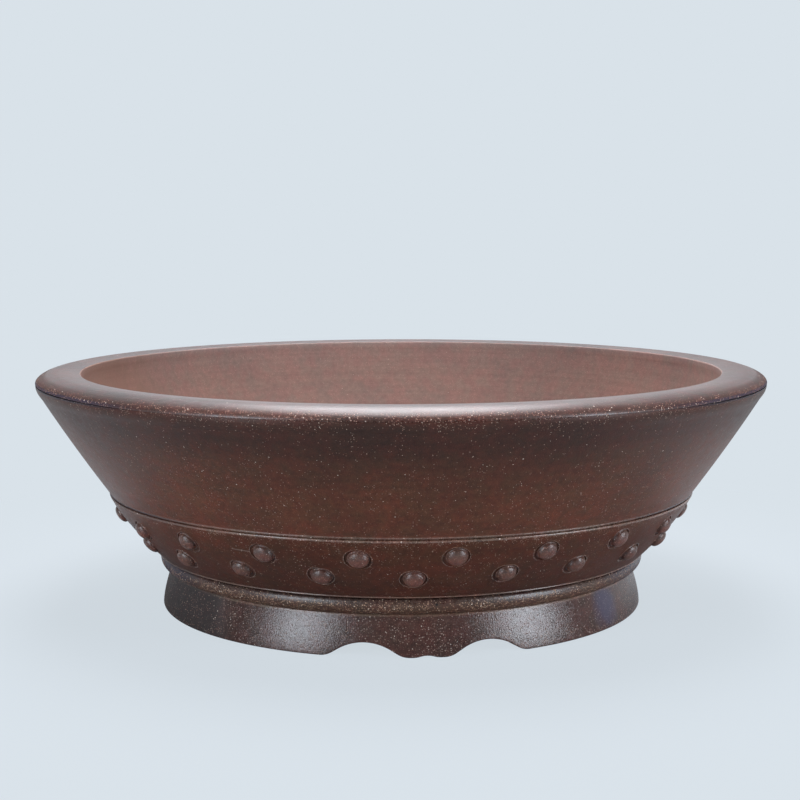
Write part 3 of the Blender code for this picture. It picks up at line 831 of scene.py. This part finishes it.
def clay(name, tones, grit, rough, polish, *, streak=0.25, blotch=1.0, leather=0.45, grit_tones=GRIT_TONES,
         grain=1.0, contrast=0.65, violet_side_shade=None, shaded_rough_side=None, below=None, spots=(), scratches=()):
    """Unglazed clay. Tones, grit and rough change with height: the body's colour, how many grains show, and
    how rough it is.

    Streak is the strength of the turning marks, blotch that of the clouds, leather that of the finest
    unevenness and contrast that of the dust. Grain is the size of the grains. Violet_side_shade and
    shaded_rough_side are parts of the pot's sides, placed as at_side says. Violet_side_shade ends in its
    colour,
    a dark violet: painted shade, with a cool painted reflection in its tint. Shaded_rough_side ends in a
    painted shade and in how much rougher the clay is. Below is a painted lift of the faces that look down, for
    the light that the floor throws up at them. Spots are round patches: a place, a radius, a colour and a
    strength.
    Scratches have two ends and a half width instead.
    """
    tree = Tree(bpy.data.materials.new(name))
    place = tree.node("ShaderNodeTexCoord").outputs["Object"]
    height = tree.node("ShaderNodeSeparateXYZ", Vector=place).outputs["Z"]
    marks = tree.noise(tree.vector("MULTIPLY", place, MARKS_SCALE), 1.0, 3.0)
    cloud = tree.noise(place, CLOUD_SCALE, 3.0)
    patch = tree.noise(place, PATCH_SCALE)
    mottle = tree.noise(place, MOTTLE_SCALE, 3.0, 0.65)
    fine = tree.noise(place, FINE_SCALE, 3.0, 0.6)

    body = tree.by_height(height, tones)
    for pattern, (low, high, darker, lighter), strength in (
        (cloud, CLOUD_SHADES, blotch),
        (patch, PATCH_SHADES, blotch),
        (mottle, MOTTLE_SHADES, blotch),
        (marks, MARKS_SHADES, streak),
    ):
        shade = tree.mix(tree.remap(pattern, low, high), darker, lighter)
        body = shaded(tree, body, shade, strength)
    if isinstance(rough, list):
        rough = tree.by_height(height, rough)
    # Painted shade on the pot's dull sides, where the clay is also rougher
    if shaded_rough_side:
        *part, shade, rougher = shaded_rough_side
        share = at_side(tree, place, *part)
        body = shaded(tree, body, (shade, shade, shade), share)
        rough = tree.math("MULTIPLY_ADD", share, rougher, rough)
    # Painted shade at the pot's sides: a dark violet, tinted as a cool painted reflection
    if violet_side_shade:
        *part, tint = violet_side_shade
        body = tree.mix(tree.times(at_side(tree, place, *part), SIDE_SHADE_COVER), body, tint)
    # Painted light: faces that look down are lit up as if by the floor under them
    if below:
        normal = tree.node("ShaderNodeTexCoord").outputs["Normal"]
        facing = tree.node("ShaderNodeSeparateXYZ", Vector=normal).outputs["Z"]
        body = shaded(tree, body, below, tree.fade(facing, *PAINTED_FLOOR_LIGHT_FACING))

    swarm = tree.remap(tree.noise(place, SWARM_SCALE), *SWARMS)
    share = tree.times(tree.by_height(height, grit), swarm)
    body, grit_mask = gritty(tree, place, body, share, grit_tones, grain, contrast)
    for spot, radius, tint, strength in spots:
        # Its outline is as uneven as the patches in the clay
        distance = tree.vector("DISTANCE", place, spot)
        uneven = tree.math("MULTIPLY_ADD", tree.math("SUBTRACT", patch, 0.5), radius * 0.5, distance)
        body = tree.mix(tree.fade(uneven, radius, radius * 0.3, 0.0, strength), body, tint)
    for start, end, half_width, tint, strength in scratches:
        line = on_line(tree, place, start, end, half_width)
        body = tree.mix(tree.times(line, strength), body, tint)

    ripple = RIPPLE_ROUGHNESS * leather
    roughness = tree.add(rough, tree.remap(mottle, *MOTTLE_ROUGHNESS), tree.times(grit_mask, GRIT_ROUGHNESS),
                         tree.remap(fine, 0.3, 0.7, -ripple, ripple))
    relief = tree.add(tree.times(fine, leather), tree.times(grit_mask, GRIT_RELIEF),
                      tree.times(marks, LEAST_MARKS_RELIEF + streak), tree.times(mottle, MOTTLE_RELIEF))
    bump = tree.node("ShaderNodeBump", Height=relief, Distance=BUMP_DISTANCE, Strength=BUMP_STRENGTH).outputs[0]
    shader = tree.nodes["Principled BSDF"]
    for socket, value in (("Base Color", body), ("Roughness", roughness), ("Normal", bump),
                          ("Specular IOR Level", polish)):
        tree.put(shader.inputs[socket], value)
    return tree.owner


def dress(obj, nodes, outside, inside=None, edge=None, is_edge=None):
    """Gives a piece its clay, the faces that look into the bowl an unpolished one, and its pale edges their
    own: worn, and partly a painted highlight.
    """
    obj.data.materials.clear()
    for material in (outside, inside, edge):
        if material:
            obj.data.materials.append(material)
    for face in obj.data.polygons:
        outwards = face.normal.xy.dot(face.center.xy.normalized())
        if inside and outwards < LINING_FACING:
            face.material_index = 1
        elif edge and outwards > EDGE_FACING and is_edge(face):
            face.material_index = 2
    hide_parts(*nodes)
    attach(obj, "root")


def on_wall_strip(face):
    strip_top = WALL_SEAM + WALL_STRIP_LIFT + STRIP_HEIGHT + HAIR
    return face.center.z < strip_top and face.normal.z > EDGE_LEAN


def on_belt_edge(face):
    """The arris under the wall, the strip at the belt's foot, and the rings round the sockets."""
    if face.center.z > BELT_HIGH.z - 2 * ARRIS:
        return True
    if face.center.z < BELT_LOW.z + BELT_STRIP_TOP:
        return face.normal.z > EDGE_LEAN
    return face.center.xy.length - belt_radius(face.center.z) > RING_STAND


def clays():
    """Every clay of the pot by its name. Heights are in metres, and colours linear."""
    top = RIM_HIGH.z
    inner, mauve = (0.245, 0.150, 0.128), (0.096, 0.064, 0.061)
    # Violets for the painted shade at the pot's sides, with a cool painted reflection in them
    violet, dark_violet = (0.026, 0.014, 0.030), (0.014, 0.009, 0.016)
    # Shoulder is painted shade: the wall darkens up under the rim
    shoulder, worn_and_highlit = (0.038, 0.0125, 0.0075), (0.130, 0.070, 0.050)
    # The foot's top arris is painted lighter: a painted highlight along it
    painted_arris_highlight, dome = (0.140, 0.085, 0.064), (0.072, 0.031, 0.022)
    scratch = ((-0.0815, -0.1340, 0.0542), (-0.0727, -0.1386, 0.0538), 0.0005, (0.26, 0.18, 0.145), 0.5)
    pinhole = ((0.0170, -0.1338, 0.0266), 0.0009, (0.003, 0.002, 0.002), 1.0)
    bluish_patch = ((0.1060, -0.0780, 0.0120), 0.0150, (0.054, 0.045, 0.084), 0.80)
    warm_side = ((-0.1650, 0.0200, 0.1080), 0.0900, (0.215, 0.116, 0.082), 0.75)
    recipes = {
        "rim": dict(
            tones=[(0.1240, (0.056, 0.020, 0.014)), (0.1258, (0.064, 0.023, 0.016)),
                   (0.1270, (0.076, 0.030, 0.023)), (0.1284, (0.094, 0.058, 0.053)), (0.1292, mauve),
                   (top, mauve)],
            grit=[(0.1240, 1.00), (0.1262, 1.00), (0.1272, 0.75), (0.1279, 0.15), (0.1288, 0.03), (top, 0.03)],
            rough=[(0.1240, 0.26), (0.1248, 0.28), (0.1251, 0.55), (0.1260, 0.50), (0.1274, 0.38),
                   (0.1294, 0.38), (top, 0.43)],
            polish=0.50, streak=0.4, grit_tones=RIM_GRIT, grain=1.3, contrast=0.95,
            violet_side_shade=(0.1240, 0.1256, 0.0008, 0.115, 0.155, violet),
            shaded_rough_side=(0.1236, 0.1282, 0.0010, 0.085, 0.125, 0.66, 0.32)),
        "wall": dict(
            # The wall's tones darken up towards the rim: painted shade under its overhang
            tones=[(0.064, (0.094, 0.031, 0.017)), (0.080, (0.086, 0.029, 0.015)),
                   (0.100, (0.062, 0.021, 0.011)), (0.113, shoulder), (0.1215, shoulder),
                   (0.1240, (0.052, 0.017, 0.011))],
            grit=[(0.064, 0.15), (0.090, 0.13), (0.112, 0.06), (0.1195, 0.11), (0.1242, 0.60)],
            rough=0.42, polish=0.26, streak=0.35, violet_side_shade=(0.1236, 0.1246, 0.0004, 0.120, 0.150, dark_violet)),
        # Narrow edges, strips and socket rings: paler with wear, and in part a painted highlight
        "edge": dict(
            tones=[(0.0, worn_and_highlit), (0.070, worn_and_highlit)],
            grit=[(0.0, 0.15), (0.0312, 0.15), (0.0330, 0.70), (0.0638, 0.70), (0.0642, 0.15), (0.070, 0.15)],
            rough=0.27, polish=0.75, grit_tones=RIM_GRIT, grain=1.4, contrast=0.95,
            violet_side_shade=(0.0640, 0.0660, 0.0004, 0.095, 0.140, dark_violet),
            shaded_rough_side=(0.0, 0.0700, 0.0010, -0.085, -0.125, 0.55, 0.30)),
        "belt": dict(
            tones=[(0.029, (0.066, 0.026, 0.017)), (0.036, (0.070, 0.023, 0.013)),
                   (0.0622, (0.070, 0.023, 0.012)), (0.0645, (0.070, 0.023, 0.012))],
            grit=[(0.029, 0.26), (0.033, 0.18), (0.058, 0.20), (0.0605, 0.40), (0.0622, 0.85), (0.0645, 0.85)],
            rough=0.42, polish=0.20, scratches=(scratch,)),
        "bead": dict(
            tones=[(0.0205, (0.088, 0.036, 0.020)), (0.0225, (0.066, 0.027, 0.015)),
                   (0.0265, (0.058, 0.027, 0.018)), (0.0295, (0.060, 0.036, 0.032))],
            grit=[(0.0205, 1.70), (0.0262, 1.50), (0.0280, 0.45), (0.0295, 0.20)],
            rough=[(0.0205, 0.52), (0.0255, 0.44), (0.0272, 0.28), (0.0295, 0.26)],
            polish=0.50, leather=0.9, grit_tones=GOLD_GRIT, grain=1.25, contrast=1.0, spots=(pinhole,),
            violet_side_shade=(0.0200, 0.0300, 0.0010, 0.100, 0.122, (0.026, 0.018, 0.030)),
            shaded_rough_side=(0.0, 0.0300, 0.0010, -0.095, -0.118, 0.75, 0.30)),
        "foot": dict(
            # Its top arris carries a painted highlight
            tones=[(0.0, (0.024, 0.011, 0.009)), (0.0008, (0.060, 0.029, 0.024)),
                   (0.0190, (0.060, 0.030, 0.025)), (0.0197, painted_arris_highlight), (0.0206, painted_arris_highlight)],
            grit=[(0.0, 0.75), (0.006, 0.50), (0.0206, 0.40)],
            rough=0.21, polish=0.57, streak=0.3, leather=1.0, grain=1.20, contrast=1.0, spots=(bluish_patch,),
            shaded_rough_side=(0.0, 0.0206, 0.0010, -0.084, -0.098, 0.32, 0.46)),
        "stud": dict(
            tones=[(0.030, dome), (0.064, dome)], grit=[(0.030, 0.60), (0.064, 0.60)],
            rough=0.33, polish=0.64, streak=0.1, leather=1.3, grit_tones=RED_GRIT, contrast=0.8,
            # Painted light from the floor on the faces that look down
            below=(1.60, 1.42, 1.32)),
        "lining": dict(
            # The lining lightens up towards the rim: partly the clay's own, and partly painted light on its
            # upright band and inner arris
            tones=[(0.020, (0.245, 0.148, 0.124)), (0.108, (0.248, 0.150, 0.124)),
                   (0.118, (0.266, 0.164, 0.138)), (0.1255, (0.274, 0.172, 0.146)),
                   (0.1285, (0.300, 0.208, 0.186)), (top, (0.330, 0.252, 0.232))],
            grit=[(0.020, 0.05), (top, 0.05)],
            rough=0.70, polish=0.3, blotch=0.55, contrast=0.45, spots=(warm_side,)),
        "floor": dict(
            tones=[(0.020, inner), (0.030, inner)], grit=[(0.020, 0.10), (0.030, 0.10)],
            rough=0.75, polish=0.3, streak=0.4, blotch=0.5),
        "underside": dict(
            tones=[(0.0, (0.080, 0.036, 0.025)), (0.030, (0.130, 0.070, 0.052))],
            grit=[(0.0, 0.3), (0.030, 0.3)], rough=0.65, polish=0.3, streak=0.3),
    }
    return {name: clay("clay_" + name, **recipe) for name, recipe in recipes.items()}


def pot():
    """Every piece of the pot in its own clay."""
    made = clays()
    lining, edge = made["lining"], made["edge"]
    dress(lathe("rim_clay", rim_profile), ["rim"], made["rim"], lining)
    dress(wall_piece(), ["wall"], made["wall"], lining, edge, on_wall_strip)
    dress(belt_piece(), ["stud_belt"], made["belt"], lining, edge, on_belt_edge)
    dress(bead_piece(), ["waist_bead"], made["bead"])
    dress(slab_piece(), ["floor_slab"], made["floor"])
    foot_ring = lathe("foot_clay", lambda angle: foot_section(foot_edge(angle)), FOOT_STEPS)
    dress(foot_ring, ["foot_ring"], made["foot"], made["underside"])
    draw = random.Random(7)
    for name, angle, height in chain(*stud_rows()):
        dress(stud_piece(name, angle, height, draw), [name], made["stud"])


def rays(tree):
    """1 on what is seen straight, also through glass, and 1 on what is seen in a mirror."""
    path = tree.node("ShaderNodeLightPath").outputs
    return tree.math("MAXIMUM", path["Is Camera Ray"], path["Is Transmission Ray"]), path["Is Glossy Ray"]


def studio_floor():
    """A pale, polished floor that keeps the pot's shadow, and further off is one with the backdrop."""
    corners = [(-FLOOR_HALF, -FLOOR_HALF, 0), (FLOOR_HALF, -FLOOR_HALF, 0), (FLOOR_HALF, FLOOR_HALF, 0),
               (-FLOOR_HALF, FLOOR_HALF, 0)]
    floor = mesh_object("studio_floor", corners, [(0, 1, 2, 3)], smooth=False)
    tree = Tree(bpy.data.materials.new("studio_floor"))
    distance = tree.vector("LENGTH", tree.node("ShaderNodeTexCoord").outputs["Object"])
    far = tree.fade(distance, FLOOR_NEAR, FLOOR_FAR, FLOOR_NEAR_SHARE, 1.0)
    far_in_mirrors = tree.fade(distance, FLOOR_NEAR, FLOOR_FAR)
    lit = tree.node("ShaderNodeBsdfDiffuse", Color=FLOOR_COLOUR)
    glow = tree.node("ShaderNodeEmission", Color=BACKDROP_COLOUR, Strength=1.0)
    straight, mirror = rays(tree)
    shown = tree.math("MAXIMUM", tree.times(straight, far), tree.times(mirror, far_in_mirrors))
    # The floor is polished enough to mirror the soft boxes back up at the pot
    gloss = tree.node("ShaderNodeBsdfGlossy", Roughness=FLOOR_ROUGHNESS)
    grazing = tree.node("ShaderNodeFresnel", IOR=FLOOR_IOR).outputs[0]
    ground = tree.mix_shader(shown, lit.outputs[0], glow.outputs[0])
    polished = tree.mix_shader(tree.times(grazing, mirror), ground, gloss.outputs[0])
    tree.put(tree.nodes["Material Output"].inputs[0], polished)
    floor.data.materials.append(tree.owner)


def studio_air():
    """The world is the pale backdrop behind the pot, and a darker room in front of it."""
    world = bpy.data.worlds.new("studio_air")
    bpy.context.scene.world = world
    tree = Tree(world)
    generated = tree.node("ShaderNodeTexCoord").outputs["Generated"]
    direction = tree.node("ShaderNodeSeparateXYZ", Vector=generated).outputs
    behind = tree.times(tree.fade(direction["Y"], *AIR_BEHIND), tree.fade(direction["Z"], *AIR_OVERHEAD))
    air = tree.mix(behind, ROOM_COLOUR, AIR_COLOUR)
    straight, mirror = rays(tree)
    shown = tree.math("MAXIMUM", straight, tree.times(mirror, behind))
    tree.put(tree.nodes["Background"].inputs["Color"], tree.mix(shown, air, BACKDROP_COLOUR))


def soft_box(name, bearing, elevation, distance, width, height, radiance, colour):
    """A soft box that faces the pot, seen from the pot at a bearing from the front, and an elevation."""
    light = bpy.data.lights.new(name, "AREA")
    light.shape = "RECTANGLE"
    light.size = width
    light.size_y = height
    light.energy = radiance * math.pi * width * height
    light.color = colour
    obj = bpy.data.objects.new(name, light)
    bpy.context.scene.collection.objects.link(obj)
    bearing, elevation = math.radians(bearing), math.radians(elevation)
    away = around(math.cos(elevation), math.sin(elevation), bearing)
    obj.location = SOFT_BOX_TARGET + away * distance
    obj.rotation_euler = away.to_track_quat("Z", "Y").to_euler()
    obj.visible_camera = False


def camera():
    data = bpy.data.cameras.new("camera")
    data.lens = CAMERA_LENS
    data.sensor_width = SENSOR_WIDTH
    obj = bpy.data.objects.new("camera", data)
    bpy.context.scene.collection.objects.link(obj)
    turn = Matrix.Rotation(math.pi / 2 - CAMERA_PITCH, 4, "X") @ Matrix.Rotation(CAMERA_ROLL, 4, "Z")
    obj.matrix_world = Matrix.Translation(CAMERA_PLACE) @ turn
    bpy.context.scene.camera = obj


pot()
studio_floor()
studio_air()
for box_name, box in SOFT_BOXES.items():
    soft_box(box_name, *box)
camera()
bpy.context.scene.view_settings.view_transform = "Standard"
